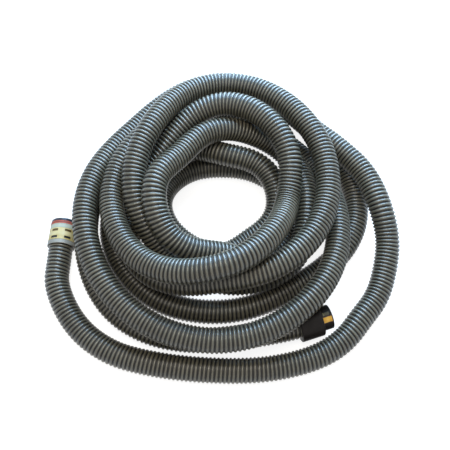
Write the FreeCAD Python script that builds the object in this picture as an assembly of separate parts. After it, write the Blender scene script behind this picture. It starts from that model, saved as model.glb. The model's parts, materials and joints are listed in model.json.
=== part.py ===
import FreeCAD, Part
import math
import os

os.makedirs("parts", exist_ok=True)
Vec = FreeCAD.Vector
UP = Vec(0, 0, 1)

# Hose: ribbed vacuum hose of 38 mm bore, which its 4 mm wall leaves
hose_od = 46.0
hose_wall = 4.0
rib_pitch = 7.4
rib_depth = 2.2
rib_flank = 1.4
rib_crest = 3.4
floor_flat = 0.5
turn_gap = 2.7
hose_grip = 20.0

# Running gap between pieces that turn on each other, slip gap round the hose, fit gap of fixed pieces
run_gap = 0.3
slip_gap = 0.3
fit_gap = 0.1

# Left coupling, lengths along its axis from the rear face
left_od = 52.4
left_lip_od = 49.6
left_rear_length = 8.0
left_sleeve_length = 24.6
left_front_length = 9.0
left_band_length = 6.0
left_lip_length = 6.0
left_lip_round = 2.2
left_socket_wall = 3.4
left_mouth_set_back = 0.6
slot_count = 6
slot_angle = 30.0
slot_first_angle = 37.5
slot_width = 4.8
slot_inset = 2.6

# Right coupling, lengths along its axis from the rear face
right_barrel_od = 60.0
right_barrel_length = 43.0
right_barrel_wall = 3.0
right_round = 1.5
right_mouth_od = 44.6
right_mouth_length = 20.0
right_socket_depth = 25.0
right_flow_bore = 34.4
lip_seal_width = 1.6
lip_seal_od = 39.0

# Push latch in the right mouth, and the inlay beside it
latch_width = 9.6
latch_length = 17.4
latch_angle = 25.0
latch_floor_wall = 1.0
latch_frame_width = 1.2
latch_frame_proud = 0.2
latch_proud = 0.6
latch_travel = 1.0
leaf_thick = 0.25
leaf_width = 5.0
leaf_length = 13.0
patch_angle = -3.0
patch_width = 6.0
patch_length = 12.0
patch_set_back = 5.0
patch_depth = 0.6

# Hose inserts and the swivel neck that both couplings turn on
socket_bore = 38.2
insert_wall = 1.4
shoulder = 3.0
flow_bore = 33.0
neck_od = 39.4
neck_length = 8.0
neck_rim = 0.65
ring_wire = 1.6
ring_reach = 1.5
ring_sink = 0.8
ring_gap_angle = 24.0
pocket_room = 0.5
seal_wire = 2.0
seal_rub = 0.1
seal_from_shoulder = 1.7
pocket_wall = 1.0

# Route of the front run, millimetres from the middle of the coil's ground plan
front_run = [(-320, -130, 4), (-276, -207, 0), (-210, -255, 0), (-135, -275, 0), (-50, -286, 0),
             (50, -288, 0), (126, -276, 0), (182, -256, 0), (222, -228, 0), (252, -190, 2)]
left_end = (-318, -50)
right_end = (133, -208)
right_heading = 18.0

# Coil: reach from the coil's middle and lift above the floor turns, at eight places of each turn
coil_middle = (-5, 15)
coil = [
    # turn 1 from its right side on
    [(302, 38), (246, 46), (288, 40), (244, 44)],
    # left, front left, front, front right, right, back right, back, back left
    [(253, 65), (260, 54), (258, 52), (240, 58), (216, 34), (212, 0), (226, 12), (208, 73)],
    [(205, 80), (190, 102), (156, 136), (124, 118), (122, 82), (160, 114), (194, 110), (162, 73)],
    [(182, 35), (188, 55), (158, 82), (170, 96), (194, 89), (226, 97), (260, 82), (190, 118)],
    [(160, 96), (138, 34), (142, 28), (165, 42), (160, 50), (175, 40), (150, 90), (114, 109)],
    [(126, 127), (130, 95), (107, 55), (130, 14), (157, 2), (136, 0), (125, 0), (136, 4)],
    [(127, 30), (96, 4), (87, 0), (82, 3), (114, 30), (125, 48), (124, 52), (186, 24)],
    [(220, 2), (213, 2), (196, 0), (205, 0), (268, 0), (278, 0), (314, 0), (264, 0)],
    [(262, 16), (276, 8), (245, 0)],
]
first_place = 4
places_per_turn = 8

# Derived sizes
hose_r = hose_od / 2
bore_r = hose_r - hose_wall
valley_r = hose_r - rib_depth
floor_z = hose_r - floor_flat
left_r = left_od / 2
right_r = right_barrel_od / 2
run_length = hose_od
socket_r = socket_bore / 2
neck_r = neck_od / 2
flow_r = flow_bore / 2
mouth_r = right_mouth_od / 2
insert_r = hose_r + slip_gap + insert_wall
shoulder_at = hose_grip + slip_gap
neck_start = shoulder_at + shoulder
neck_end = neck_start + neck_length
ring_at_end = neck_end - neck_rim
ring_at_start = ring_at_end - ring_wire
hub_start = neck_start + run_gap
hub_end = ring_at_start - run_gap
pocket_end = neck_end + run_gap
pocket_r = neck_r + ring_reach + pocket_room
left_length = left_rear_length + left_sleeve_length + left_front_length + left_band_length + left_lip_length
right_length = right_barrel_length + right_mouth_length
right_socket_floor = right_length - right_socket_depth
latch_floor = socket_r + latch_floor_wall
latch_under = latch_floor + leaf_thick + latch_travel + fit_gap
latch_start = right_barrel_length + run_gap
latch_end = latch_start + latch_length
frame_end = latch_end + run_gap + latch_frame_width


# A stretch of route is (start, direction at the start, end): a straight run or one arc
def stretch_bend(stretch):
    a, t, b = stretch
    chord = b - a
    along = chord.dot(t)
    side = chord - t * along
    half = math.atan2(side.Length, along)
    if half < 1e-7:
        return 0.0, 0.0, None
    return half, chord.Length / (2 * math.sin(half)), side / side.Length


def stretch_point(stretch, share):
    a, t, b = stretch
    half, radius, side = stretch_bend(stretch)
    if side is None:
        return a + (b - a) * share
    turn = 2 * half * share
    return a + t * (radius * math.sin(turn)) + side * (radius * (1 - math.cos(turn)))


def stretch_direction(stretch, share):
    a, t, b = stretch
    half, radius, side = stretch_bend(stretch)
    if side is None:
        return t
    turn = 2 * half * share
    return t * math.cos(turn) + side * math.sin(turn)


def stretch_length(stretch):
    half, radius, side = stretch_bend(stretch)
    if side is None:
        return (stretch[2] - stretch[0]).Length
    return 2 * half * radius


def unit(v):
    return v / v.Length


# Straight runs joined by tangent arcs, each arc as large as 0.45 of its shorter run allows
def rounded_route(points):
    out = []
    here = points[0]
    for before, corner, after in zip(points, points[1:], points[2:]):
        t0 = unit(corner - before)
        t1 = unit(after - corner)
        reach = 0.45 * min((corner - before).Length, (after - corner).Length)
        start = corner - t0 * reach
        out.append((here, t0, start))
        out.append((start, t0, corner + t1 * reach))
        here = corner + t1 * reach
    out.append((here, unit(points[-1] - here), points[-1]))
    return out


# Two arcs from one place of the coil to the next, tangent to each other and to the given directions
def biarc(p0, t0, p1, t1):
    v = p1 - p0
    t = t0 + t1
    a = 2 * (1 - t0.dot(t1))
    b = v.dot(t)
    if a < 1e-9:
        d = v.dot(v) / (2 * b)
    else:
        d = (math.sqrt(b * b + a * v.dot(v)) - b) / a
    joint = (p0 + p1 + (t0 - t1) * d) / 2
    middle = unit((p1 - t1 * d) - (p0 + t0 * d))
    return [(p0, t0, joint), (joint, middle, p1)]


# Places of the coil as flat lists: turn position, reach and height of the hose's centre
def coil_places():
    positions = []
    reaches = []
    heights = []
    for row in coil:
        for reach, lift in row:
            positions.append((first_place + len(positions)) / places_per_turn)
            reaches.append(float(reach))
            heights.append(floor_z + lift)
    return positions, reaches, heights


# Smooth curve through four neighbouring places: the weights of each at a share t of the middle gap
def blend(t):
    return ((-t + 2 * t * t - t ** 3) / 2, (2 - 5 * t * t + 3 * t ** 3) / 2,
            (t + 4 * t * t - 3 * t ** 3) / 2, (t ** 3 - t * t) / 2)


# The turns settle on each other: wherever two lie closer than the hose is thick, both give way
def settle(positions, reaches, heights, steps=5, rounds=120, firm=40):
    count = len(positions)
    laid = list(reaches), list(heights)
    least = hose_od + turn_gap
    fixed = settle_obstacles()
    plan = []
    for i in range(count - 1):
        for s in range(steps):
            t = s / steps
            ids = [min(max(i + k, 0), count - 1) for k in (-1, 0, 1, 2)]
            angle = math.pi + 2 * math.pi * (positions[i] + (positions[i + 1] - positions[i]) * t)
            plan.append((ids, blend(t), math.cos(angle), math.sin(angle)))
    per_turn = places_per_turn * steps
    middle_x, middle_y = coil_middle

    def place(item):
        ids, w, c, s = item
        r = sum(wk * reaches[k] for wk, k in zip(w, ids))
        return (middle_x + r * c, middle_y + r * s, sum(wk * heights[k] for wk, k in zip(w, ids)))

    def give(item, push, n):
        ids, w, c, s = item
        total = sum(wk * wk for wk in w)
        out = push * (n[0] * c + n[1] * s) / total
        up = push * n[2] / total
        for wk, k in zip(w, ids):
            reaches[k] += wk * out
            heights[k] += wk * up

    for turn_round in range(rounds):
        if turn_round < rounds - firm:
            for now, first in zip((reaches, heights), laid):
                moved = [a - b for a, b in zip(now, first)]
                for k in range(1, count - 1):
                    now[k] += 0.25 * ((moved[k - 1] + moved[k + 1]) / 2 - moved[k])
        pts = [place(item) for item in plan]
        for i, p in enumerate(pts):
            for turn in range(1, len(coil) + 1):
                for j in range(i + turn * per_turn - 3, min(i + turn * per_turn + 4, len(pts))):
                    q = pts[j]
                    dz = q[2] - p[2]
                    dx = q[0] - p[0]
                    dy = q[1] - p[1]
                    gap = dx * dx + dy * dy + dz * dz
                    if gap < least * least:
                        gap = math.sqrt(gap)
                        n = (dx / gap, dy / gap, dz / gap)
                        push = (least - gap) / 2
                        give(plan[i], -0.5 * push, n)
                        give(plan[j], 0.5 * push, n)
            for (x, y, z, far) in fixed:
                dx = p[0] - x
                dy = p[1] - y
                dz = p[2] - z
                gap = dx * dx + dy * dy + dz * dz
                if gap < far * far:
                    gap = math.sqrt(gap)
                    give(plan[i], 0.5 * (far - gap), (dx / gap, dy / gap, dz / gap))
            if p[2] < floor_z:
                give(plan[i], floor_z - p[2], (0, 0, 1))


# What the turns rest against besides each other: the two couplings and the front run
def settle_obstacles():
    out = []
    for k in range(9):
        p = left_base + left_axis * (k * left_length / 8)
        out.append((p.x, p.y, p.z, left_r + hose_r + turn_gap))
    for k in range(9):
        reach = k * right_length / 8
        p = right_base + right_axis * reach
        r = right_r if reach <= right_barrel_length + 3 else mouth_r
        out.append((p.x, p.y, p.z, r + hose_r + turn_gap))
    for stretch in front:
        count = int(stretch_length(stretch) / 15) + 1
        for k in range(count):
            p = stretch_point(stretch, k / count)
            if p.x < coil_start.x - 3 * hose_od:
                out.append((p.x, p.y, p.z, hose_od + turn_gap))
    return out


# Couplings: the rear face's middle and the axis out of the hose
left_base = Vec(left_end[0], left_end[1], left_r)
front_points = [Vec(x, y, floor_z + lift) for x, y, lift in front_run]
front_points[0] = Vec(front_run[0][0], front_run[0][1], left_r)
left_axis = unit(left_base - front_points[0])
front_points.insert(0, left_base + left_axis * hose_grip)
right_base = Vec(right_end[0], right_end[1], right_r)
right_axis = Vec(math.cos(math.radians(right_heading)), math.sin(math.radians(right_heading)), 0)

# Front run: from the left coupling round the front to the coil
front = rounded_route(front_points)
coil_start = front_points[-1]
coil_heading = unit(front_points[-1] - front_points[-2])

# Coil: the places settled, then joined by biarcs; both ends run straight for one hose diameter
positions, reaches, heights = coil_places()
settle(positions, reaches, heights)
middle = Vec(coil_middle[0], coil_middle[1], 0)
wind_in = coil_start + coil_heading * run_length
wind_out = right_base - right_axis * (run_length - hose_grip)


def turn_position(point, near):
    angle = math.atan2(point.y - middle.y, point.x - middle.x)
    q = (angle - math.pi) / (2 * math.pi)
    return q + round(near - q)


def flat_reach(point):
    return math.hypot(point.x - middle.x, point.y - middle.y)


line_q = [turn_position(wind_in, positions[0])] + positions + [turn_position(wind_out, positions[-1])]
line_r = [flat_reach(wind_in)] + reaches + [flat_reach(wind_out)]
line_z = [wind_in.z] + heights + [wind_out.z]
stops = [(wind_in, coil_heading)]
for k in range(1, len(line_q) - 1):
    angle = math.pi + 2 * math.pi * line_q[k]
    out = Vec(math.cos(angle), math.sin(angle), 0)
    across = Vec(-math.sin(angle), math.cos(angle), 0)
    step = line_q[k + 1] - line_q[k - 1]
    growth = (line_r[k + 1] - line_r[k - 1]) / step
    climb = (line_z[k + 1] - line_z[k - 1]) / step
    direction = unit(out * growth + across * (2 * math.pi * line_r[k]) + UP * climb)
    stops.append((middle + out * line_r[k] + UP * line_z[k], direction))
stops.append((wind_out, right_axis))
wound = [(coil_start, coil_heading, wind_in)]
for (p0, t0), (p1, t1) in zip(stops, stops[1:]):
    wound += biarc(p0, t0, p1, t1)
wound.append((wind_out, right_axis, right_base + right_axis * hose_grip))


# The frame's origin is at the bottom centre of the outline of hose and couplings
def route_points(route, pitch):
    out = []
    for stretch in route:
        count = max(int(stretch_length(stretch) / pitch), 1)
        out += [stretch_point(stretch, k / count) for k in range(count)]
    return out + [route[-1][2]]


sides = [(p, hose_r) for p in route_points(front + wound, 2.0)]
for share in (0.0, 0.5, 1.0):
    sides.append((left_base + left_axis * (left_length * share), left_r))
    sides.append((right_base + right_axis * (right_barrel_length * share), right_r))
shift = Vec(-(min(p.x - r for p, r in sides) + max(p.x + r for p, r in sides)) / 2,
            -(min(p.y - r for p, r in sides) + max(p.y + r for p, r in sides)) / 2, 0)
front = [(a + shift, t, b + shift) for a, t, b in front]
wound = [(a + shift, t, b + shift) for a, t, b in wound]
left_base = left_base + shift
right_base = right_base + shift
print("shift", shift)


# Least gap of the whole hose to itself, measured on points of its centre line
def least_gap(route, pitch=3.0):
    pts = route_points(route, pitch)
    cell = hose_od * 1.2
    far = int(4 * hose_od / pitch)
    boxes = {}
    for i, p in enumerate(pts):
        boxes.setdefault((int(p.x // cell), int(p.y // cell)), []).append(i)
    best = 1e9
    for (bx, by), members in boxes.items():
        near = []
        for ox in (-1, 0, 1):
            for oy in (-1, 0, 1):
                near += boxes.get((bx + ox, by + oy), [])
        for i in members:
            for j in near:
                if j - i > far:
                    best = min(best, (pts[i] - pts[j]).Length)
    return best - hose_od


gap = least_gap(front + wound)
print("least gap of the hose to itself %.2f mm" % gap)
bends = [stretch_bend(s)[1] for s in front if stretch_bend(s)[2] is not None]
print("front run radii", [round(r) for r in bends])
bends = [stretch_bend(s)[1] for s in wound if stretch_bend(s)[2] is not None]
print("coil radii from %.0f to %.0f mm" % (min(bends), max(bends)))
hose_length = sum(stretch_length(s) for s in front + wound)
print("hose length %.0f mm, front run %.0f mm" % (hose_length, sum(stretch_length(s) for s in front)))
print("top %.1f mm" % max(p.z + r for p, r in sides))


# Wire of a route, and its tube by a pipe shell
def route_wire(route):
    edges = []
    for stretch in route:
        a, t, b = stretch
        if stretch_bend(stretch)[2] is None:
            edges.append(Part.LineSegment(a, b).toShape())
        else:
            edges.append(Part.Arc(a, stretch_point(stretch, 0.5), b).toShape())
    return Part.Wire(edges)


def ring_at(centre, direction, radius):
    edge = Part.Circle(Vec(0, 0, 0), UP, radius).toShape()
    edge.Placement = FreeCAD.Placement(centre, FreeCAD.Rotation(UP, Vec(), direction, "ZXY"))
    return Part.Wire([edge])


def tube(route, radius):
    sweep = Part.BRepOffsetAPI.MakePipeShell(route_wire(route))
    sweep.add(ring_at(route[0][0], route[0][1], radius))
    sweep.build()
    sweep.makeSolid()
    return sweep.shape()


# The hose lies on its own weight: everything below the floor is cut away flat. The cut may leave a thin
# strip under the floor as a solid of its own, so only what stands above the floor is kept.
def above_floor(solid):
    box = solid.BoundBox
    corner = Vec(box.XMin - hose_r, box.YMin - hose_r, -hose_r)
    slab = Part.makeBox(box.XLength + hose_od, box.YLength + hose_od, hose_r, corner)
    standing = [s for s in solid.cut(slab).Solids if s.CenterOfMass.z > 0]
    return Part.makeCompound(standing) if len(standing) > 1 else standing[0]


def save(name, shape):
    kind = "valid" if shape.isValid() and shape.isClosed() else "NOT VALID"
    print(name, len(shape.Solids), "solid", kind, "%.0f mm3" % shape.Volume)
    shape.exportStep("parts/%s.step" % name)


# A closed outline of (distance along, radius, rounding of the corner) turned about the axis
def turned(corners):
    edges = []
    points = [Vec(c[1], 0, c[0]) for c in corners]
    ends = []
    for k, corner in enumerate(corners):
        here = points[k]
        rounding = corner[2] if len(corner) > 2 else 0
        if not rounding:
            ends.append((here, here))
            continue
        back = unit(points[k - 1] - here)
        on = unit(points[(k + 1) % len(points)] - here)
        half = math.acos(back.dot(on)) / 2
        reach = rounding / math.tan(half)
        inward = unit(back + on)
        crown = here + inward * (rounding / math.sin(half) - rounding)
        ends.append((here + back * reach, here + on * reach))
        edges.append(Part.Arc(ends[-1][0], crown, ends[-1][1]).toShape())
    for k in range(len(corners)):
        edges.append(Part.LineSegment(ends[k - 1][1], ends[k][0]).toShape())
    outline_wire = Part.Wire(Part.__sortEdges__(edges))
    return Part.Face(outline_wire).revolve(Vec(0, 0, 0), UP, 360)


# Stand a piece made along +Z, with +X upward, on a coupling's rear face
def seat(shape, base, axis):
    placed = shape.copy()
    stand = FreeCAD.Placement(base, FreeCAD.Rotation(UP, Vec(), axis, "ZXY"))
    placed.Placement = stand.multiply(shape.Placement)
    return placed


def seat_left(shape):
    return seat(shape, left_base, left_axis)


def seat_right(shape):
    return seat(shape, right_base, right_axis)


# A block that stands out from the axis at an angle from straight up
def block(low, high, width, start, end, angle):
    box = Part.makeBox(high - low, width, end - start, Vec(low, -width / 2, start))
    box.rotate(Vec(0, 0, 0), UP, angle)
    return box


def disc(radius, start, end):
    return Part.makeCylinder(radius, end - start, Vec(0, 0, start))


# hose_coil: one unbroken tube with its bore, from the front run to the right coupling
coil_skin = above_floor(tube(wound, hose_r))
save("hose_coil", coil_skin.cut(tube(wound, bore_r)))


# hose_left_run: ribs as a ruled loft through four circles each, over the same bore
def along(route, distance):
    for stretch in route:
        length = stretch_length(stretch)
        if distance <= length:
            return stretch_point(stretch, distance / length), stretch_direction(stretch, distance / length)
        distance -= length
    return route[-1][2], stretch_direction(route[-1], 1.0)


front_length = sum(stretch_length(s) for s in front)
rib_count = int(round(front_length / rib_pitch))
pitch = front_length / rib_count
valley = pitch - rib_crest - 2 * rib_flank
rings = [ring_at(front[0][0], stretch_direction(front[0], 0.0), valley_r)]
for k in range(rib_count):
    foot = k * pitch + valley / 2
    for distance, radius in ((foot, valley_r), (foot + rib_flank, hose_r),
                             (foot + rib_flank + rib_crest, hose_r), (foot + pitch - valley, valley_r)):
        centre, direction = along(front, distance)
        rings.append(ring_at(centre, direction, radius))
centre, direction = along(front, front_length)
rings.append(ring_at(centre, direction, valley_r))
ribs = Part.makeLoft(rings, True, True)
print("ribs", rib_count, "pitch %.2f mm" % pitch)
save("hose_left_run", above_floor(ribs).cut(tube(front, bore_r)))

# Hose inserts: a cup round the hose's end, a shoulder, and the neck that the coupling turns on
insert = turned([
    (0, hose_r + slip_gap), (shoulder_at, hose_r + slip_gap), (shoulder_at, flow_r), (neck_end, flow_r),
    (neck_end, neck_r, 0.3), (ring_at_end + fit_gap, neck_r), (ring_at_end + fit_gap, neck_r - ring_sink),
    (ring_at_start - fit_gap, neck_r - ring_sink), (ring_at_start - fit_gap, neck_r),
    (neck_start + seal_from_shoulder + seal_wire + 2 * fit_gap, neck_r),
    (neck_start + seal_from_shoulder + seal_wire + 2 * fit_gap, neck_r + run_gap - 2 * seal_rub - seal_wire),
    (neck_start + seal_from_shoulder, neck_r + run_gap - 2 * seal_rub - seal_wire),
    (neck_start + seal_from_shoulder, neck_r), (neck_start, neck_r), (neck_start, insert_r), (0, insert_r)])
save("left_hose_insert", seat_left(insert))
save("right_hose_insert", seat_right(insert))

# Swivel seals: a round ring in the neck's groove
seal_r = neck_r + run_gap - seal_rub - seal_wire / 2
seal = Part.makeTorus(seal_r, seal_wire / 2, Vec(0, 0, neck_start + seal_from_shoulder + fit_gap + seal_wire / 2))
save("left_swivel_seal", seat_left(seal))
save("right_swivel_seal", seat_right(seal))

# Snap rings: open rings that keep the coupling on its neck
snap = disc(neck_r + ring_reach, ring_at_start, ring_at_end)
snap = snap.cut(disc(neck_r - ring_sink + fit_gap, ring_at_start - 1, ring_at_end + 1))
opening = 2 * (neck_r + ring_reach) * math.sin(math.radians(ring_gap_angle / 2))
snap = snap.cut(block(0, pocket_r, opening, ring_at_start - 1, ring_at_end + 1, 180))
save("left_snap_ring", seat_left(snap))
save("right_snap_ring", seat_right(snap))


# Left coupling's outside tapers gently from the rear ring to the lip
def left_outer(distance):
    share = (distance - left_rear_length) / (left_length - left_rear_length)
    return left_r - (left_od - left_lip_od) / 2 * max(share, 0)


# left_rear_ring: plain ring pressed on the insert
save("left_rear_ring", seat_left(turned([
    (0, insert_r + fit_gap), (left_rear_length, insert_r + fit_gap), (left_rear_length, left_r),
    (0, left_r, 1.0)])))

# left_socket_tube: hub on the neck, pocket for the snap ring, and the socket
sleeve_end = left_rear_length + left_sleeve_length
left_tube_r = socket_r + left_socket_wall
left_hub_r = left_tube_r + 1.6
left_mouth = left_length - left_mouth_set_back
save("left_socket_tube", seat_left(turned([
    (hub_start, neck_r + run_gap), (hub_end, neck_r + run_gap), (hub_end, pocket_r), (pocket_end, pocket_r),
    (pocket_end, socket_r), (left_mouth - 0.8, socket_r), (left_mouth, socket_r + 0.8),
    (left_mouth, left_tube_r), (sleeve_end, left_tube_r), (sleeve_end, left_hub_r), (hub_start, left_hub_r)])))

# left_lock_sleeve: stepped sleeve over insert and hub, with two rows of slots
sleeve = turned([
    (left_rear_length + run_gap, insert_r + run_gap), (hub_start, insert_r + run_gap),
    (hub_start, left_hub_r + fit_gap), (sleeve_end, left_hub_r + fit_gap), (sleeve_end, left_outer(sleeve_end)),
    (left_rear_length + run_gap, left_outer(left_rear_length + run_gap))])
row_starts = (left_rear_length + run_gap + slot_inset, sleeve_end - slot_inset - slot_width)
for start in row_starts:
    band = disc(left_r + 1, start, start + slot_width).cut(disc(insert_r - 0.5, start - 1, start + slot_width + 1))
    chord = 2 * (left_r + 1) * math.tan(math.radians(slot_angle / 2))
    for k in range(slot_count):
        angle = slot_first_angle + k * 360 / slot_count
        wedge = Part.Face(Part.makePolygon([
            Vec(0, 0, start), Vec(left_r + 1, -chord / 2, start), Vec(left_r + 1, chord / 2, start),
            Vec(0, 0, start)])).extrude(Vec(0, 0, slot_width))
        wedge.rotate(Vec(0, 0, 0), UP, angle)
        slot = wedge.common(disc(left_r + 1, start, start + slot_width))
        depth = insert_r + run_gap - 0.2 if start < hub_start - slot_width else left_outer(start) - 0.9
        sleeve = sleeve.cut(slot.cut(disc(depth, start - 1, start + slot_width + 1)))
save("left_lock_sleeve", seat_left(sleeve))


# Rings carried by the socket tube: front ring, band and rounded lip
def left_carried(start, end, rounding):
    bore = left_tube_r + fit_gap
    return seat_left(turned([(start, bore), (end, bore), (end, left_outer(end), rounding),
                             (start, left_outer(start))]))


band_start = sleeve_end + left_front_length
lip_start = band_start + left_band_length
save("left_front_ring", left_carried(sleeve_end, band_start, 0.4))
save("left_band", left_carried(band_start, lip_start, 0.4))
save("left_end_lip", left_carried(lip_start, left_length, left_lip_round))

# right_barrel: hollow shell, its rear wall round the insert and its front wall round the mouth
inner_r = right_r - right_barrel_wall
front_wall = right_barrel_length - right_barrel_wall
save("right_barrel", seat_right(turned([
    (0, insert_r + run_gap), (right_barrel_wall, insert_r + run_gap), (right_barrel_wall, inner_r),
    (front_wall, inner_r), (front_wall, mouth_r + fit_gap), (right_barrel_length, mouth_r + fit_gap),
    (right_barrel_length, right_r, right_round), (0, right_r, right_round)])))

# right_mouth: hub on the neck, pocket, seal seat and socket, with recesses for latch and inlay
right_hub_end = pocket_end + pocket_wall
right_hub_r = inner_r - fit_gap
right_flow_r = right_flow_bore / 2
lip_seal_r = lip_seal_od / 2
seat_start = right_socket_floor - lip_seal_width - 2 * fit_gap
mouth = turned([
    (hub_start, neck_r + run_gap), (hub_end, neck_r + run_gap), (hub_end, pocket_r), (pocket_end, pocket_r),
    (pocket_end, right_flow_r), (seat_start, right_flow_r), (seat_start, lip_seal_r + fit_gap),
    (right_socket_floor, lip_seal_r + fit_gap), (right_socket_floor, socket_r), (right_length - 0.8, socket_r),
    (right_length, socket_r + 0.8), (right_length, mouth_r, 0.8), (right_hub_end, mouth_r),
    (right_hub_end, right_hub_r), (hub_start, right_hub_r)])
frame_width = latch_width + 2 * run_gap + 2 * latch_frame_width
mouth = mouth.cut(block(latch_floor, right_r, frame_width + 2 * fit_gap, right_barrel_length,
                        frame_end + fit_gap, latch_angle))
patch_end = right_length - patch_set_back
inlay_room = disc(right_r, patch_end - patch_length - fit_gap, patch_end + fit_gap)
inlay_room = inlay_room.cut(disc(mouth_r - patch_depth, patch_end - patch_length - 1, patch_end + 1))
mouth = mouth.cut(inlay_room.common(block(0, right_r, patch_width + 2 * fit_gap, 0, right_length, patch_angle)))
save("right_mouth", seat_right(mouth))

# right_lip_seal: flat ring at the socket's floor
save("right_lip_seal", seat_right(turned([
    (seat_start + fit_gap, right_flow_r + 0.2), (right_socket_floor - fit_gap, right_flow_r + 0.2, 0.4),
    (right_socket_floor - fit_gap, lip_seal_r, 0.4), (seat_start + fit_gap, lip_seal_r)])))

# right_latch_frame: three-sided surround, open toward the barrel
frame_start = right_barrel_length + fit_gap
frame = disc(mouth_r + latch_frame_proud, frame_start, frame_end)
frame = frame.common(block(latch_floor, right_r, frame_width, frame_start, frame_end, latch_angle))
frame = frame.cut(block(0, right_r, latch_width + 2 * run_gap, 0, latch_end + run_gap, latch_angle))
save("right_latch_frame", seat_right(frame))

# right_latch_button: curved key that is pressed toward the axis
button = disc(mouth_r + latch_proud, latch_start, latch_end)
button = button.common(block(latch_under, right_r, latch_width, latch_start, latch_end, latch_angle))
save("right_latch_button", seat_right(button))

# right_latch_spring: bowed leaf between the pocket's floor and the key
leaf_middle = (latch_start + latch_end) / 2
leaf_rise = latch_under - fit_gap - latch_floor - leaf_thick
leaf_low = [Vec(latch_floor, 0, leaf_middle - leaf_length / 2),
            Vec(latch_floor + leaf_rise, 0, leaf_middle),
            Vec(latch_floor, 0, leaf_middle + leaf_length / 2)]
leaf_high = [p + Vec(leaf_thick, 0, 0) for p in leaf_low]
leaf_wire = Part.Wire([
    Part.Arc(leaf_low[0], leaf_low[1], leaf_low[2]).toShape(),
    Part.LineSegment(leaf_low[2], leaf_high[2]).toShape(),
    Part.Arc(leaf_high[2], leaf_high[1], leaf_high[0]).toShape(),
    Part.LineSegment(leaf_high[0], leaf_low[0]).toShape()])
leaf = Part.Face(leaf_wire).extrude(Vec(0, leaf_width, 0))
leaf.translate(Vec(0, -leaf_width / 2, 0))
leaf.rotate(Vec(0, 0, 0), UP, latch_angle)
save("right_latch_spring", seat_right(leaf))

# right_latch_patch: shallow inlay beside the latch
inlay = disc(mouth_r, patch_end - patch_length, patch_end)
inlay = inlay.cut(disc(mouth_r - patch_depth, patch_end - patch_length - 1, patch_end + 1))
inlay = inlay.common(block(0, right_r, patch_width, 0, right_length, patch_angle))
save("right_latch_patch", seat_right(inlay))
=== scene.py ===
import json
import math

import bpy
import numpy as np
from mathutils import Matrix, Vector


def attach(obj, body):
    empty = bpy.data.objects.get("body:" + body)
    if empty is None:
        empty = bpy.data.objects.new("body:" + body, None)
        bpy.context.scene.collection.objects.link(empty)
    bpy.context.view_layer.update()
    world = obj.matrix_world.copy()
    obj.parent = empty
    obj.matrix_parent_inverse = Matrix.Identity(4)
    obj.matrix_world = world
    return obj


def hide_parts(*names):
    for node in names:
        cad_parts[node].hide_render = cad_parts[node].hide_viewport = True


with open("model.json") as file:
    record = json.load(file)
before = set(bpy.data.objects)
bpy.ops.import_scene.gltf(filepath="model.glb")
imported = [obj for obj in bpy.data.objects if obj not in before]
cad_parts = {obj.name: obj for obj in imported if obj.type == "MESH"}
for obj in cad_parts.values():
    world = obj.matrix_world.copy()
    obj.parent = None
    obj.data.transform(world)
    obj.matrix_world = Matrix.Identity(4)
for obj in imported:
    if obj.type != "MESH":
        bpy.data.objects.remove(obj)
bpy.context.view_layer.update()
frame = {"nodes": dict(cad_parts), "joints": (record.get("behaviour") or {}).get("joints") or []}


# The studio: a camera that looks down on the coil from the front at 65 degrees, 1.26 m from its middle.
# A wide cool lamp stands behind the hose like a window, a warm one hangs overhead and a weak one is in
# front, over a white floor that keeps the hose's shadow.
view_distance = 1.257
view_height = 0.023
view_elevation = math.radians(65.0)
view_pixels = 636.0
frame_pixels = 450.0
floor_reach = 8.0
floor_whiteness = 0.87

pivot = {joint["name"]: Vector(joint["pos_m"]) for joint in frame["joints"] if "pos_m" in joint}
turning = {joint["name"]: Vector(joint["axis"]) for joint in frame["joints"]}
left_end = (-318.0, -50.0)
left_radius = 26.2
left_pivot_reach = 26.2
left_base = pivot["left_swivel"] - turning["left_swivel"] * (left_pivot_reach / 1000)
plan_shift = left_base * 1000 - Vector((left_end[0], left_end[1], left_radius))

camera_data = bpy.data.cameras.new("studio_camera")
camera_data.lens = view_pixels / frame_pixels * camera_data.sensor_width
camera_data.clip_end = 20.0
camera = bpy.data.objects.new("studio_camera", camera_data)
bpy.context.scene.collection.objects.link(camera)
target = Vector((plan_shift.x / 1000, plan_shift.y / 1000, view_height))
camera.location = target + view_distance * Vector((0, -math.cos(view_elevation), math.sin(view_elevation)))
camera.rotation_euler = (math.pi / 2 - view_elevation, 0, 0)
bpy.context.scene.camera = camera
bpy.context.scene.view_settings.view_transform = "Standard"


def softbox(name, place, size, watts, colour):
    """A square lamp at place that faces the coil's middle."""
    data = bpy.data.lights.new(name, "AREA")
    data.shape = "SQUARE"
    data.size = size
    data.energy = watts
    data.color = colour
    lamp = bpy.data.objects.new(name, data)
    lamp.location = place
    lamp.rotation_euler = (Vector((0, 0, 0.05)) - Vector(place)).to_track_quat("-Z", "Y").to_euler()
    bpy.context.scene.collection.objects.link(lamp)
    return lamp


softbox("cool_window_lamp", (0.35, 1.75, 1.12), 2.0, 182.0, (0.44, 0.70, 1.0))
softbox("warm_overhead_lamp", (-0.2, -0.1, 2.0), 1.0, 17.0, (1.0, 0.93, 0.80))
softbox("warm_front_lamp", (0.5, -1.9, 1.3), 1.6, 5.0, (1.0, 0.90, 0.72))


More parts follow.
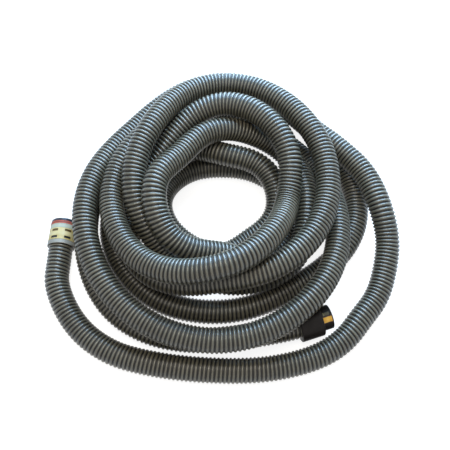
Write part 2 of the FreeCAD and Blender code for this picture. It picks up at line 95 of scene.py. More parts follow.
def seen_or_mirrored(nodes, links):
    """One for a ray from the camera, from a gloss or through glass, nought for diffuse light."""
    path = nodes.new("ShaderNodeLightPath")
    first = nodes.new("ShaderNodeMath")
    first.operation = "MAXIMUM"
    links.new(path.outputs["Is Camera Ray"], first.inputs[0])
    links.new(path.outputs["Is Glossy Ray"], first.inputs[1])
    both = nodes.new("ShaderNodeMath")
    both.operation = "MAXIMUM"
    links.new(first.outputs["Value"], both.inputs[0])
    links.new(path.outputs["Is Transmission Ray"], both.inputs[1])
    return both.outputs["Value"]


sky = bpy.data.worlds.new("studio_sky")
sky.use_nodes = True
bpy.context.scene.world = sky
sky_shader = sky.node_tree.nodes["Background"]
sky_shader.inputs["Color"].default_value = (0.88, 0.94, 1.0, 1.0)
sky_shader.inputs["Strength"].default_value = 0.17
sky_white = sky.node_tree.nodes.new("ShaderNodeBackground")
sky_white.inputs["Color"].default_value = (1.0, 1.0, 1.0, 1.0)
sky_white.inputs["Strength"].default_value = 1.0
sky_mix = sky.node_tree.nodes.new("ShaderNodeMixShader")
sky.node_tree.links.new(seen_or_mirrored(sky.node_tree.nodes, sky.node_tree.links), sky_mix.inputs["Fac"])
sky.node_tree.links.new(sky_shader.outputs["Background"], sky_mix.inputs[1])
sky.node_tree.links.new(sky_white.outputs["Background"], sky_mix.inputs[2])
sky.node_tree.links.new(sky_mix.outputs["Shader"], sky.node_tree.nodes["World Output"].inputs["Surface"])

floor_mesh = bpy.data.meshes.new("studio_floor")
floor_mesh.from_pydata([(-floor_reach, -floor_reach, 0), (floor_reach, -floor_reach, 0),
                        (floor_reach, floor_reach, 0), (-floor_reach, floor_reach, 0)], [], [(0, 1, 2, 3)])
studio_floor = bpy.data.objects.new("studio_floor", floor_mesh)
bpy.context.scene.collection.objects.link(studio_floor)
floor_paint = bpy.data.materials.new("white_floor_paint")
floor_paint.use_nodes = True
floor_shader = floor_paint.node_tree.nodes["Principled BSDF"]
floor_shader.inputs["Base Color"].default_value = (0.5, 0.5, 0.5, 1.0)
floor_shader.inputs["Roughness"].default_value = 0.9
floor_shader.inputs["Specular IOR Level"].default_value = 0.0
floor_strength = floor_paint.node_tree.nodes.new("ShaderNodeMath")
floor_strength.operation = "MULTIPLY"
floor_strength.inputs[1].default_value = floor_whiteness
floor_paint.node_tree.links.new(seen_or_mirrored(floor_paint.node_tree.nodes, floor_paint.node_tree.links),
                               floor_strength.inputs[0])
floor_shader.inputs["Emission Color"].default_value = (1.0, 1.0, 1.0, 1.0)
floor_paint.node_tree.links.new(floor_strength.outputs["Value"], floor_shader.inputs["Emission Strength"])
floor_mesh.materials.append(floor_paint)


# The hose's line: half a turn round the front from the left coupling, then seven and three quarter loose
# turns. Ten and a half metres of one hose, laid by hand, rest on each other where they cross. The seventh
# turn's left lies 4 to 11 mm further out than the frame's tube, as in the photograph.
hose_od = 46.0
floor_z = hose_od / 2 - 0.5
turn_gap = 2.7
hose_grip = 20.0
left_straight = 30.0
left_length = 53.6
right_radius = 30.0
right_length = 63.0
barrel_length = 43.0
barrel_shoulder = 46.0
mouth_radius = 22.3
# Place and lift of the run along the front, then reach from the coil's middle and lift at eight places of
# each turn: left, front left, front, front right, right, back right, back, back left
front_run = [(-320, -130, 4), (-276, -207, 0), (-210, -255, 0), (-135, -275, 0), (-50, -286, 0),
             (50, -288, 0), (126, -276, 0), (182, -256, 0), (222, -228, 0), (252, -190, 2)]
right_end = (133, -208)
right_heading = 18.0
coil_middle = (-5, 15)
coil = [
    [(302, 38), (246, 46), (288, 40), (244, 44)],
    [(253, 65), (260, 54), (258, 52), (240, 58), (216, 34), (212, 0), (226, 12), (208, 73)],
    [(205, 80), (190, 102), (156, 136), (124, 118), (122, 82), (160, 114), (194, 110), (162, 73)],
    [(182, 35), (188, 55), (158, 82), (170, 96), (194, 89), (226, 97), (260, 82), (190, 118)],
    [(160, 96), (138, 34), (142, 28), (165, 42), (160, 50), (175, 40), (150, 90), (114, 109)],
    [(126, 127), (130, 95), (107, 55), (130, 14), (157, 2), (136, 0), (125, 0), (136, 4)],
    [(127, 30), (96, 4), (87, 0), (82, 3), (114, 30), (125, 48), (124, 52), (192, 22)],
    [(231, 2), (222, 2), (200, 0), (205, 0), (268, 0), (278, 0), (314, 0), (264, 0)],
    [(262, 16), (276, 8), (245, 0)],
]
first_place = 4
places_per_turn = 8


def blend(t):
    """Weights of four neighbouring places at a share t of the middle gap: cubics of t, for a curve that
    passes each place in the direction from the place before it to the one after."""
    return ((-t + 2 * t * t - t ** 3) / 2, (2 - 5 * t * t + 3 * t ** 3) / 2,
            (t + 4 * t * t - 3 * t ** 3) / 2, (t ** 3 - t * t) / 2)


settle_steps = 5
settle_rounds = 120
firm_rounds = 40
settle_reach = 3
evening = 0.25
give_share = 0.5


def settle(positions, reaches, heights, couplings):
    """Wherever two turns lie closer than the hose is thick, each gives way by a quarter of what is missing,
    until all rest on each other. Before the last, firm rounds the moves of neighbouring places are evened.
    A turn gives way to a coupling by half of what is missing, and to the floor by all of it."""
    steps, rounds = settle_steps, settle_rounds
    count = len(positions)
    laid = list(reaches), list(heights)
    least = hose_od + turn_gap
    plan = []
    for i in range(count - 1):
        for s in range(steps):
            t = s / steps
            ids = [min(max(i + k, 0), count - 1) for k in (-1, 0, 1, 2)]
            angle = math.pi + 2 * math.pi * (positions[i] + (positions[i + 1] - positions[i]) * t)
            plan.append((ids, blend(t), math.cos(angle), math.sin(angle)))
    per_turn = places_per_turn * steps
    middle_x, middle_y = coil_middle

    def place(item):
        ids, w, c, s = item
        r = sum(wk * reaches[k] for wk, k in zip(w, ids))
        return (middle_x + r * c, middle_y + r * s, sum(wk * heights[k] for wk, k in zip(w, ids)))

    def give(item, push, n):
        ids, w, c, s = item
        total = sum(wk * wk for wk in w)
        out = push * (n[0] * c + n[1] * s) / total
        up = push * n[2] / total
        for wk, k in zip(w, ids):
            reaches[k] += wk * out
            heights[k] += wk * up

    for turn_round in range(rounds):
        if turn_round < rounds - firm_rounds:
            for now, first in zip((reaches, heights), laid):
                moved = [a - b for a, b in zip(now, first)]
                for k in range(1, count - 1):
                    now[k] += evening * ((moved[k - 1] + moved[k + 1]) / 2 - moved[k])
        pts = [place(item) for item in plan]
        for i, p in enumerate(pts):
            for turn in range(1, len(coil) + 1):
                above = i + turn * per_turn
                for j in range(above - settle_reach, min(above + settle_reach + 1, len(pts))):
                    q = pts[j]
                    dx, dy, dz = q[0] - p[0], q[1] - p[1], q[2] - p[2]
                    gap = dx * dx + dy * dy + dz * dz
                    if gap < least * least:
                        gap = math.sqrt(gap)
                        n = (dx / gap, dy / gap, dz / gap)
                        push = give_share * (least - gap) / 2
                        give(plan[i], -push, n)
                        give(plan[j], push, n)
            for x, y, z, far in couplings:
                dx, dy, dz = p[0] - x, p[1] - y, p[2] - z
                gap = dx * dx + dy * dy + dz * dz
                if gap < far * far:
                    gap = math.sqrt(gap)
                    give(plan[i], give_share * (far - gap), (dx / gap, dy / gap, dz / gap))
            if p[2] < floor_z:
                give(plan[i], floor_z - p[2], (0, 0, 1))


left_foot = np.array([left_end[0], left_end[1], left_radius])
left_axis = left_foot - np.array([front_run[0][0], front_run[0][1], left_radius])
left_axis /= np.linalg.norm(left_axis)
right_foot = np.array([right_end[0], right_end[1], right_radius])
right_axis = np.array([math.cos(math.radians(right_heading)), math.sin(math.radians(right_heading)), 0.0])
beside = []
parts_along = 8
for k in range(parts_along + 1):
    reach = k * left_length / parts_along
    beside.append((*(left_foot + left_axis * reach), left_radius + hose_od / 2 + turn_gap))
for k in range(parts_along + 1):
    reach = k * right_length / parts_along
    far = right_radius if reach <= barrel_shoulder else mouth_radius
    beside.append((*(right_foot + right_axis * reach), far + hose_od / 2 + turn_gap))

turn_positions, reaches, heights = [], [], []
for row in coil:
    for reach, lift in row:
        turn_positions.append((first_place + len(turn_positions)) / places_per_turn)
        reaches.append(float(reach))
        heights.append(floor_z + lift)
settle(turn_positions, reaches, heights, beside)

# Three points of the line for each eighth of a turn, drawn out a little because the line cuts inside them
points_per_place = 3
round_line = []
for i in range(len(reaches) - 1):
    for s in range(points_per_place if i < len(reaches) - 2 else points_per_place + 1):
        weights = blend(s / points_per_place)
        ids = [min(max(i + k, 0), len(reaches) - 1) for k in (-1, 0, 1, 2)]
        reach = sum(w * reaches[k] for w, k in zip(weights, ids))
        height = sum(w * heights[k] for w, k in zip(weights, ids))
        angle = math.pi + 2 * math.pi * (turn_positions[i] + s / points_per_place / places_per_turn)
        round_line.append((coil_middle[0] + reach * math.cos(angle),
                           coil_middle[1] + reach * math.sin(angle), height))
round_line = np.array(round_line)
drawn_out = round_line.copy()
drawn_out[1:-1] -= (round_line[:-2] - 2 * round_line[1:-1] + round_line[2:]) / 8

front_points = np.array([[x, y, floor_z + lift] for x, y, lift in front_run])
front_points[0, 2] = left_radius
right_rise = np.array([(286, -150, 24), (305, -95, 32), (313, -40, 47)])
hose_points = np.vstack([[left_foot + left_axis * hose_grip], [left_foot - left_axis * left_straight],
                         front_points, right_rise, drawn_out,
                         [right_foot - right_axis * (hose_od - hose_grip)],
                         [right_foot + right_axis * hose_grip]])
hose_points = (hose_points + np.array(plan_shift)) / 1000


def smooth_line(name, points):
    """The points that a NURBS spline of order 3 with these control points passes, close together."""
    curve = bpy.data.curves.new(name, "CURVE")
    curve.dimensions = "3D"
    curve.resolution_u = 12
    spline = curve.splines.new("NURBS")
    spline.points.add(len(points) - 1)
    spline.points.foreach_set("co", np.column_stack([points, np.ones(len(points))]).ravel())
    spline.order_u = 3
    spline.use_endpoint_u = True
    holder = bpy.data.objects.new(name, curve)
    bpy.context.scene.collection.objects.link(holder)
    bpy.context.view_layer.update()
    mesh = bpy.data.meshes.new_from_object(holder)
    line = np.empty(len(mesh.vertices) * 3)
    mesh.vertices.foreach_get("co", line)
    bpy.data.objects.remove(holder)
    bpy.data.curves.remove(curve)
    bpy.data.meshes.remove(mesh)
    return line.reshape(-1, 3)


hose_line = smooth_line("hose_line", hose_points)
hose_run = np.concatenate([[0.0], np.cumsum(np.linalg.norm(np.diff(hose_line, axis=0), axis=1))])
hose_length = float(hose_run[-1])


def on_line(distance):
    """The point of the hose's line at each distance from its start."""
    return np.stack([np.interp(distance, hose_run, hose_line[:, k]) for k in range(3)], axis=-1)


def along_hose(distance, near=0.004):
    """Centre, direction, side and crown of the hose at each distance: the crown is square to the line and
    as near upward as that allows, the side is square to both."""
    centre = on_line(distance)
    direction = on_line(distance + near) - on_line(distance - near)
    direction /= np.linalg.norm(direction, axis=-1, keepdims=True)
    side = np.cross(direction, [0.0, 0.0, 1.0])
    side /= np.linalg.norm(side, axis=-1, keepdims=True)
    crown = np.cross(side, direction)
    return centre, direction, side, crown


def grid_piece(name, grid, wrap_rows, wrap_columns, caps=False):
    """A mesh over a grid of points: rows and columns close on themselves where asked, and caps fill the
    first and last row of a closed column."""
    rows, columns = grid.shape[:2]
    number = np.arange(rows * columns).reshape(rows, columns)
    down = np.roll(number, -1, axis=0) if wrap_rows else number[1:]
    here = number if wrap_rows else number[:-1]
    if wrap_columns:
        quads = np.stack([here, np.roll(here, -1, axis=1), np.roll(down, -1, axis=1), down], axis=-1)
    else:
        quads = np.stack([here[:, :-1], here[:, 1:], down[:, 1:], down[:, :-1]], axis=-1)
    faces = quads.reshape(-1, 4).tolist()
    if caps:
        faces += [number[0, ::-1].tolist(), number[-1].tolist()]
    mesh = bpy.data.meshes.new(name)
    mesh.from_pydata(grid.reshape(-1, 3), [], faces)
    mesh.update()
    mesh.polygons.foreach_set("use_smooth", np.ones(len(faces), dtype=bool))
    piece = bpy.data.objects.new(name, mesh)
    bpy.context.scene.collection.objects.link(piece)
    return piece


# The hose's wall: dark flexible polyethylene, thin, with a smooth bore. It is blown as one long tube
# and the grey rib is laid round it while it is warm. Its near-black colour is partly the plastic's own and
# partly painted shade in the valleys between the rib's turns.
wall_outer = 0.0209
wall_inner = 0.0190
wall_around = 24
wall_step = 0.0085

wall_count = int(hose_length / wall_step) + 1
wall_at = np.linspace(0.0, hose_length, wall_count)
centre, direction, side, crown = along_hose(wall_at)
turn = np.linspace(0, 2 * np.pi, wall_around, endpoint=False)
spoke = (np.cos(turn)[None, :, None] * crown[:, None, :] + np.sin(turn)[None, :, None] * side[:, None, :])
outside = centre[:, None, :] + wall_outer * spoke
inside = centre[:, None, :] + wall_inner * spoke
hose_wall = grid_piece("hose_wall", np.concatenate([outside, inside[::-1]]), True, True)

wall_plastic_and_shade = bpy.data.materials.new("hose_wall_plastic_and_valley_shade")
wall_plastic_and_shade.use_nodes = True
nodes, links = wall_plastic_and_shade.node_tree.nodes, wall_plastic_and_shade.node_tree.links
shader = nodes["Principled BSDF"]
shader.inputs["Roughness"].default_value = 0.45
shader.inputs["Specular IOR Level"].default_value = 0.3
where = nodes.new("ShaderNodeTexCoord")
cloud = nodes.new("ShaderNodeTexNoise")
cloud.inputs["Scale"].default_value = 60.0
tone = nodes.new("ShaderNodeValToRGB")
# Partly painted shade: the near-black tones are the wall's own dark plastic and also stand for the shade in the
# valleys.
tone.color_ramp.elements[0].color = (0.012, 0.012, 0.013, 1)
tone.color_ramp.elements[1].color = (0.028, 0.027, 0.026, 1)
links.new(where.outputs["Object"], cloud.inputs["Vector"])
links.new(cloud.outputs["Fac"], tone.inputs["Fac"])
links.new(tone.outputs["Color"], shader.inputs["Base Color"])
hose_wall.data.materials.append(wall_plastic_and_shade)
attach(hose_wall, "hose")
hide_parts("hose_left_run", "hose_coil")


# The rib: a rounded grey bead that winds round the wall as a left-handed helix of 7.4 mm pitch.
# It stands 2.2 mm proud and keeps the hose round under suction. Its colour is painted darker towards its foot,
# down to near black, as painted shade in the valleys beside the wall.
rib_pitch = 0.0074
rib_half_foot = 0.0026
rib_height = 0.0023
rib_around = 28
rib_lengths = 5
rib_end_margin = 0.003
hose_end_margin = 0.0005
rib_profile = np.array([(-1.0, -0.35), (-0.94, 0.22), (-0.70, 0.70), (-0.28, 0.97), (0.28, 0.97), (0.70, 0.70),
                        (0.94, 0.22), (1.0, -0.35)])


def rib_bead(name, start, end):
    """The profile carried along a helix: at each angle the foot's width lies along the hose and its height
    points away from the hose's middle. One turn of the helix moves one pitch along the hose."""
    turns = (end - start) / rib_pitch
    steps = int(turns * rib_around)
    lap = np.linspace(0.0, turns, steps + 1)
    middle = start + lap * rib_pitch
    angle = -2 * np.pi * (middle / rib_pitch)
    across = rib_profile[:, 0] * rib_half_foot
    lift = wall_outer + rib_profile[:, 1] * rib_height
    place = middle[:, None] + across[None, :]
    place = np.clip(place, hose_end_margin, hose_length - hose_end_margin)
    centre, direction, side, crown = along_hose(place)
    spoke = np.cos(angle)[:, None, None] * crown + np.sin(angle)[:, None, None] * side
    beads = centre + lift[None, :, None] * spoke
    beads[..., 2] = np.maximum(beads[..., 2], 0.0)
    bead = grid_piece(name, beads, False, True, caps=True)
    # One at the bead's crown and nought at its foot: the material uses it to paint shade towards the foot.
    lit_share_layer = bead.data.attributes.new("crown_lit_share", "FLOAT", "POINT")
    lit_share = np.tile(np.clip(rib_profile[:, 1], 0, 1), steps + 1)
    lit_share_layer.data.foreach_set("value", lit_share.astype(np.float32))
    return bead


rib_plastic = bpy.data.materials.new("grey_rib_polyethylene")
rib_plastic.use_nodes = True
nodes, links = rib_plastic.node_tree.nodes, rib_plastic.node_tree.links
shader = nodes["Principled BSDF"]
where = nodes.new("ShaderNodeTexCoord")
cloud = nodes.new("ShaderNodeTexNoise")
cloud.inputs["Scale"].default_value = 14.0
cloud.inputs["Detail"].default_value = 4.0
tone = nodes.new("ShaderNodeValToRGB")
tone.color_ramp.elements[0].position = 0.3
tone.color_ramp.elements[0].color = (0.105, 0.097, 0.070, 1)
tone.color_ramp.elements[1].position = 0.7
tone.color_ramp.elements[1].color = (0.170, 0.158, 0.118, 1)
# Painted shade: towards its foot the bead's colour runs down to near black, for the shaded valleys beside the
# wall.
lit_share = nodes.new("ShaderNodeAttribute")
lit_share.attribute_name = "crown_lit_share"
foot = nodes.new("ShaderNodeMix")
foot.data_type = "RGBA"
foot.inputs["A"].default_value = (0.012, 0.012, 0.012, 1)
dust = nodes.new("ShaderNodeTexNoise")
dust.inputs["Scale"].default_value = 900.0
rough = nodes.new("ShaderNodeMapRange")
rough.inputs["To Min"].default_value = 0.24
rough.inputs["To Max"].default_value = 0.34
grain = nodes.new("ShaderNodeBump")
grain.inputs["Strength"].default_value = 0.06
grain.inputs["Distance"].default_value = 0.0003
shader.inputs["Specular IOR Level"].default_value = 0.75
links.new(where.outputs["Object"], cloud.inputs["Vector"])
links.new(where.outputs["Object"], dust.inputs["Vector"])
links.new(cloud.outputs["Fac"], tone.inputs["Fac"])
links.new(lit_share.outputs["Fac"], foot.inputs["Factor"])
links.new(tone.outputs["Color"], foot.inputs["B"])
links.new(foot.outputs["Result"], shader.inputs["Base Color"])
links.new(cloud.outputs["Fac"], rough.inputs["Value"])
links.new(rough.outputs["Result"], shader.inputs["Roughness"])
links.new(dust.outputs["Fac"], grain.inputs["Height"])
links.new(grain.outputs["Normal"], shader.inputs["Normal"])

rib_ends = np.linspace(rib_end_margin, hose_length - rib_end_margin, rib_lengths + 1)
for k in range(rib_lengths):
    bead = rib_bead("hose_rib_%d" % (k + 1), rib_ends[k], rib_ends[k + 1])
    bead.data.materials.append(rib_plastic)
    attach(bead, "hose")

# The whole hose is one cord, from the left coupling to the right one. Its centre line at the wall's rings is
# worked out here as a list, and the list is not kept.
along_hose(wall_at)[0].tolist()


# Both couplings turn on a neck: the insert's cup holds the hose's end, and the socket tube takes the pipe.
# They are injection moulded in dark polypropylene, pushed together and held by a snap ring.
right_pivot_reach = left_pivot_reach
right_base = pivot["right_swivel"] - turning["right_swivel"] * (right_pivot_reach / 1000)


def moulded(name, dark, light, rough_low, rough_high, cloud_size=55.0):
    """Two close tones mixed by slow noise, roughness by the same noise, and a fine bump."""
    material = bpy.data.materials.new(name)
    material.use_nodes = True
    nodes, links = material.node_tree.nodes, material.node_tree.links
    shader = nodes["Principled BSDF"]
    where = nodes.new("ShaderNodeTexCoord")
    cloud = nodes.new("ShaderNodeTexNoise")
    cloud.inputs["Scale"].default_value = cloud_size
    cloud.inputs["Detail"].default_value = 5.0
    tone = nodes.new("ShaderNodeValToRGB")
    tone.color_ramp.elements[0].position = 0.35
    tone.color_ramp.elements[0].color = (*dark, 1)
    tone.color_ramp.elements[1].position = 0.65
    tone.color_ramp.elements[1].color = (*light, 1)
    rough = nodes.new("ShaderNodeMapRange")
    rough.inputs["To Min"].default_value = rough_low
    rough.inputs["To Max"].default_value = rough_high
    speck = nodes.new("ShaderNodeTexNoise")
    speck.inputs["Scale"].default_value = 1400.0
    grain = nodes.new("ShaderNodeBump")
    grain.inputs["Strength"].default_value = 0.05
    grain.inputs["Distance"].default_value = 0.0003
    links.new(where.outputs["Object"], cloud.inputs["Vector"])
    links.new(where.outputs["Object"], speck.inputs["Vector"])
    links.new(cloud.outputs["Fac"], tone.inputs["Fac"])
    links.new(cloud.outputs["Fac"], rough.inputs["Value"])
    links.new(tone.outputs["Color"], shader.inputs["Base Color"])
    links.new(rough.outputs["Result"], shader.inputs["Roughness"])
    links.new(speck.outputs["Fac"], grain.inputs["Height"])
    links.new(grain.outputs["Normal"], shader.inputs["Normal"])
    return material


def reach_along(material, base, axis):
    """Distance along a coupling's axis from its rear face: the point less the base, dotted with the axis."""
    nodes, links = material.node_tree.nodes, material.node_tree.links
    where = nodes.new("ShaderNodeTexCoord")
    from_base = nodes.new("ShaderNodeVectorMath")
    from_base.operation = "SUBTRACT"
    from_base.inputs[1].default_value = tuple(base)
    reach = nodes.new("ShaderNodeVectorMath")
    reach.operation = "DOT_PRODUCT"
    reach.inputs[1].default_value = tuple(axis)
    links.new(where.outputs["Object"], from_base.inputs[0])
    links.new(from_base.outputs["Vector"], reach.inputs[0])
    return reach.outputs["Value"]


def tint(material, amount, colour):
    """Lay another colour over the finish, as strongly as the amount socket says."""
    nodes, links = material.node_tree.nodes, material.node_tree.links
    shader = nodes["Principled BSDF"]
    under = shader.inputs["Base Color"].links[0].from_socket
    layer = nodes.new("ShaderNodeMix")
    layer.data_type = "RGBA"
    layer.inputs["B"].default_value = (*colour, 1)
    links.new(amount, layer.inputs["Factor"])
    links.new(under, layer.inputs["A"])
    links.new(layer.outputs["Result"], shader.inputs["Base Color"])


def near_place(material, value, place, width, strength):
    """Full strength where value is at place, and nothing a width away from it."""
    nodes, links = material.node_tree.nodes, material.node_tree.links
    gap = nodes.new("ShaderNodeMath")
    gap.operation = "SUBTRACT"
    gap.inputs[1].default_value = place
    links.new(value, gap.inputs[0])
    size = nodes.new("ShaderNodeMath")
    size.operation = "ABSOLUTE"
    links.new(gap.outputs["Value"], size.inputs[0])
    fade = nodes.new("ShaderNodeMapRange")
    fade.interpolation_type = "SMOOTHSTEP"
    fade.inputs["From Min"].default_value = 0.0
    fade.inputs["From Max"].default_value = width
    fade.inputs["To Min"].default_value = strength
    fade.inputs["To Max"].default_value = 0.0
    links.new(size.outputs["Value"], fade.inputs["Value"])
    return fade.outputs["Result"]


def edge_wear_and_sheen(material, value, place, colour, width=0.0012, strength=0.7):
    """A pale rub, a dark joint or a painted highlight along an edge, broken up by noise as it is on a used
    moulding.
    """
    nodes, links = material.node_tree.nodes, material.node_tree.links
    where = nodes.new("ShaderNodeTexCoord")
    breaks = nodes.new("ShaderNodeTexNoise")
    breaks.inputs["Scale"].default_value = 260.0
    breaks.inputs["Detail"].default_value = 3.0
    links.new(where.outputs["Object"], breaks.inputs["Vector"])
    share = nodes.new("ShaderNodeMath")
    share.operation = "MULTIPLY"
    links.new(near_place(material, value, place, width, strength), share.inputs[0])
    links.new(breaks.outputs["Fac"], share.inputs[1])
    tint(material, share.outputs["Value"], colour)


def finish_node(name, material):
    """Give a frame piece its finish."""
    node = frame["nodes"][name]
    node.data.materials.clear()
    node.data.materials.append(material)


neck_plastic = moulded("dark_neck_plastic", (0.018, 0.019, 0.023), (0.030, 0.031, 0.036), 0.32, 0.45)
for name in ("left_socket_tube", "left_hose_insert", "right_hose_insert"):
    finish_node(name, neck_plastic)


# The swivel seals and the lip seal: soft black rubber rings, pressed into their grooves.
# Dust from the pool's edge dulls them, and only a glimpse of one shows inside a socket.
seal_rubber = moulded("black_seal_rubber", (0.012, 0.012, 0.012), (0.024, 0.023, 0.022), 0.6, 0.8)
for name in ("left_swivel_seal", "right_swivel_seal", "right_lip_seal"):
    finish_node(name, seal_rubber)


# The snap rings and the latch's leaf: spring steel wire and strip, bent and tempered, sprung into place.
# The steel is drawn and polished: bright in places, duller where water has stood.
spring_steel = moulded("spring_steel", (0.40, 0.39, 0.38), (0.58, 0.58, 0.59), 0.24, 0.38, cloud_size=220.0)
spring_steel.node_tree.nodes["Principled BSDF"].inputs["Metallic"].default_value = 1.0
for name in ("left_snap_ring", "right_snap_ring", "right_latch_spring"):
    finish_node(name, spring_steel)


# The left coupling's rear ring: plain grey plastic, pressed on the insert where the hose comes out.
# It is scuffed paler along its rear edge, which drags on the ground.
rear_ring_length = 8.0
rear_plastic = moulded("grey_rear_ring_plastic", (0.29, 0.28, 0.245), (0.40, 0.385, 0.34), 0.4, 0.55)
reach = reach_along(rear_plastic, left_base, turning["left_swivel"])
edge_wear_and_sheen(rear_plastic, reach, 0.0, (0.55, 0.55, 0.52), width=0.0016)
edge_wear_and_sheen(rear_plastic, reach, rear_ring_length / 1000, (0.10, 0.095, 0.085), width=0.0009, strength=1.0)
finish_node("left_rear_ring", rear_plastic)


# The lock sleeve: cream plastic gone yellow in the sun, moulded in one piece with two rows of slots.
# Its outside tapers 1.4 mm in radius towards the lip. The slots are painted dark brown as painted shade: the
# nodes find them by how far a point lies under that taper.
sleeve_length = 24.6
left_lip_radius = 24.8
slot_shade = (0.105, 0.058, 0.014)
unshaded_depth, full_shade_depth = 0.12, 0.50
sleeve_plastic = moulded("yellowed_sleeve_plastic", (0.52, 0.39, 0.13), (0.70, 0.56, 0.27), 0.36, 0.5)
reach = reach_along(sleeve_plastic, left_base, turning["left_swivel"])
nodes, links = sleeve_plastic.node_tree.nodes, sleeve_plastic.node_tree.links
where = nodes.new("ShaderNodeTexCoord")
from_base = nodes.new("ShaderNodeVectorMath")
from_base.operation = "SUBTRACT"
from_base.inputs[1].default_value = tuple(left_base)
across = nodes.new("ShaderNodeVectorMath")
across.operation = "CROSS_PRODUCT"
across.inputs[1].default_value = tuple(turning["left_swivel"])
aside = nodes.new("ShaderNodeVectorMath")
aside.operation = "LENGTH"
links.new(where.outputs["Object"], from_base.inputs[0])
links.new(from_base.outputs["Vector"], across.inputs[0])
links.new(across.outputs["Vector"], aside.inputs[0])
taper = nodes.new("ShaderNodeMapRange")
taper.inputs["From Min"].default_value = rear_ring_length / 1000
taper.inputs["From Max"].default_value = left_length / 1000
taper.inputs["To Min"].default_value = left_radius / 1000
taper.inputs["To Max"].default_value = left_lip_radius / 1000
links.new(reach, taper.inputs["Value"])
depth = nodes.new("ShaderNodeMath")
depth.operation = "SUBTRACT"
links.new(taper.outputs["Result"], depth.inputs[0])
links.new(aside.outputs["Value"], depth.inputs[1])
slot_shade_share = nodes.new("ShaderNodeMapRange")
slot_shade_share.inputs["From Min"].default_value = unshaded_depth / 1000
slot_shade_share.inputs["From Max"].default_value = full_shade_depth / 1000
links.new(depth.outputs["Value"], slot_shade_share.inputs["Value"])
sleeve_middle = rear_ring_length + sleeve_length / 2
tint(sleeve_plastic, near_place(sleeve_plastic, reach, sleeve_middle / 1000, 0.008, 0.35), (0.78, 0.70, 0.46))
# Painted shade: dark brown in the slots, the stronger the deeper a point lies under the taper.
tint(sleeve_plastic, slot_shade_share.outputs["Result"], slot_shade)
edge_wear_and_sheen(sleeve_plastic, reach, (rear_ring_length + sleeve_length) / 1000, (0.16, 0.12, 0.05),
            width=0.0010, strength=1.0)
finish_node("left_lock_sleeve", sleeve_plastic)


# The front ring: pale green-grey plastic, moulded and pressed over the socket tube before the sleeve.
# A thin dirty joint shows at its front edge, and its middle is rubbed paler.
front_ring_length = 9.0
front_ring_end = rear_ring_length + sleeve_length + front_ring_length
pale_plastic = moulded("pale_front_ring_plastic", (0.36, 0.36, 0.27), (0.48, 0.49, 0.38), 0.42, 0.55)
reach = reach_along(pale_plastic, left_base, turning["left_swivel"])
edge_wear_and_sheen(pale_plastic, reach, front_ring_end / 1000, (0.07, 0.05, 0.045), width=0.0009, strength=1.0)
edge_wear_and_sheen(pale_plastic, reach, (front_ring_end - front_ring_length / 2) / 1000, (0.60, 0.61, 0.50),
            width=0.003, strength=0.6)
finish_node("left_front_ring", pale_plastic)


# The band: dusty red rubber, stretched over the socket tube in front of the pale ring.
# Its middle is painted dark all round, so it reads as two red lines.
band_length = 6.0
band_middle = front_ring_end + band_length / 2
band_rubber = moulded("dusty_red_band_rubber", (0.38, 0.060, 0.030), (0.52, 0.100, 0.055), 0.55, 0.7)
reach = reach_along(band_rubber, left_base, turning["left_swivel"])
tint(band_rubber, near_place(band_rubber, reach, band_middle / 1000, 0.0015, 0.85), (0.050, 0.024, 0.024))
finish_node("left_band", band_rubber)


# The end lip: the dark moulded rim of the left socket, rounded where a pipe is pushed in.
# It is the glossiest piece, and a bluish-grey painted highlight runs round its rim.
lip_plastic = moulded("dark_lip_plastic", (0.020, 0.022, 0.030), (0.034, 0.038, 0.050), 0.22, 0.34)
reach = reach_along(lip_plastic, left_base, turning["left_swivel"])
# Painted highlight: a bluish-grey band round the rim.
edge_wear_and_sheen(lip_plastic, reach, left_length / 1000, (0.16, 0.18, 0.22), width=0.0022, strength=0.8)
finish_node("left_end_lip", lip_plastic)


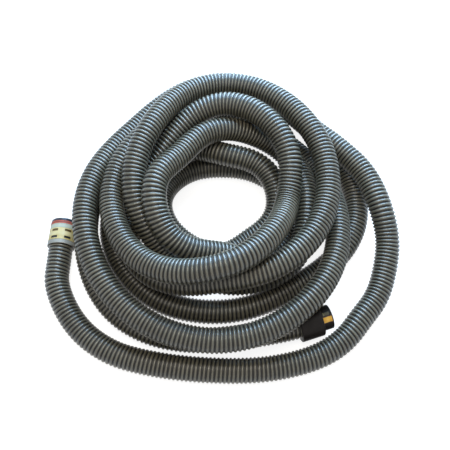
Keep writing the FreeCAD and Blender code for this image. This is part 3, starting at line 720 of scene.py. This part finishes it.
# The right coupling's barrel and mouth: black plastic with a faint brown cast, moulded in two pieces.
# The barrel snaps round the mouth's hub, and both are rubbed dull grey along their edges.
cuff_plastic = moulded("black_cuff_plastic", (0.0085, 0.0070, 0.0068), (0.0150, 0.0125, 0.0120), 0.42, 0.56)
reach = reach_along(cuff_plastic, right_base, turning["right_swivel"])
edge_wear_and_sheen(cuff_plastic, reach, barrel_length / 1000, (0.060, 0.054, 0.050), width=0.0014, strength=0.6)
edge_wear_and_sheen(cuff_plastic, reach, right_length / 1000, (0.080, 0.072, 0.066), width=0.0016, strength=0.7)
cuff_plastic.node_tree.nodes["Principled BSDF"].inputs["Specular IOR Level"].default_value = 0.15
for name in ("right_barrel", "right_mouth"):
    finish_node(name, cuff_plastic)


# The latch: a yellow key in a dark red-brown surround, both hard plastic, over the leaf spring.
# A thumb has polished the key, and it is paler in the middle than at its ends.
latch_start, latch_end = 43.3, 60.7
key_plastic = moulded("yellow_key_plastic", (0.70, 0.33, 0.03), (0.84, 0.45, 0.06), 0.3, 0.42, cloud_size=160.0)
reach = reach_along(key_plastic, right_base, turning["right_swivel"])
latch_middle = (latch_start + latch_end) / 2
tint(key_plastic, near_place(key_plastic, reach, latch_middle / 1000, 0.006, 0.4), (0.92, 0.58, 0.14))
edge_wear_and_sheen(key_plastic, reach, latch_start / 1000, (0.25, 0.10, 0.02), width=0.0010, strength=1.0)
edge_wear_and_sheen(key_plastic, reach, latch_end / 1000, (0.25, 0.10, 0.02), width=0.0010, strength=1.0)
finish_node("right_latch_button", key_plastic)
finish_node("right_latch_frame", moulded("brown_frame_plastic", (0.030, 0.009, 0.006), (0.055, 0.016, 0.010),
                                         0.4, 0.5, cloud_size=160.0))


# The inlay beside the latch: a shallow olive-brown rubber pad, glued into its recess.
# Its rear edge is painted paler than the rest.
patch_rear = 46.0
patch_rubber = moulded("olive_inlay_rubber", (0.035, 0.030, 0.012), (0.070, 0.060, 0.026), 0.55, 0.7,
                       cloud_size=180.0)
reach = reach_along(patch_rubber, right_base, turning["right_swivel"])
edge_wear_and_sheen(patch_rubber, reach, patch_rear / 1000, (0.24, 0.21, 0.11), width=0.0035, strength=1.0)
finish_node("right_latch_patch", patch_rubber)
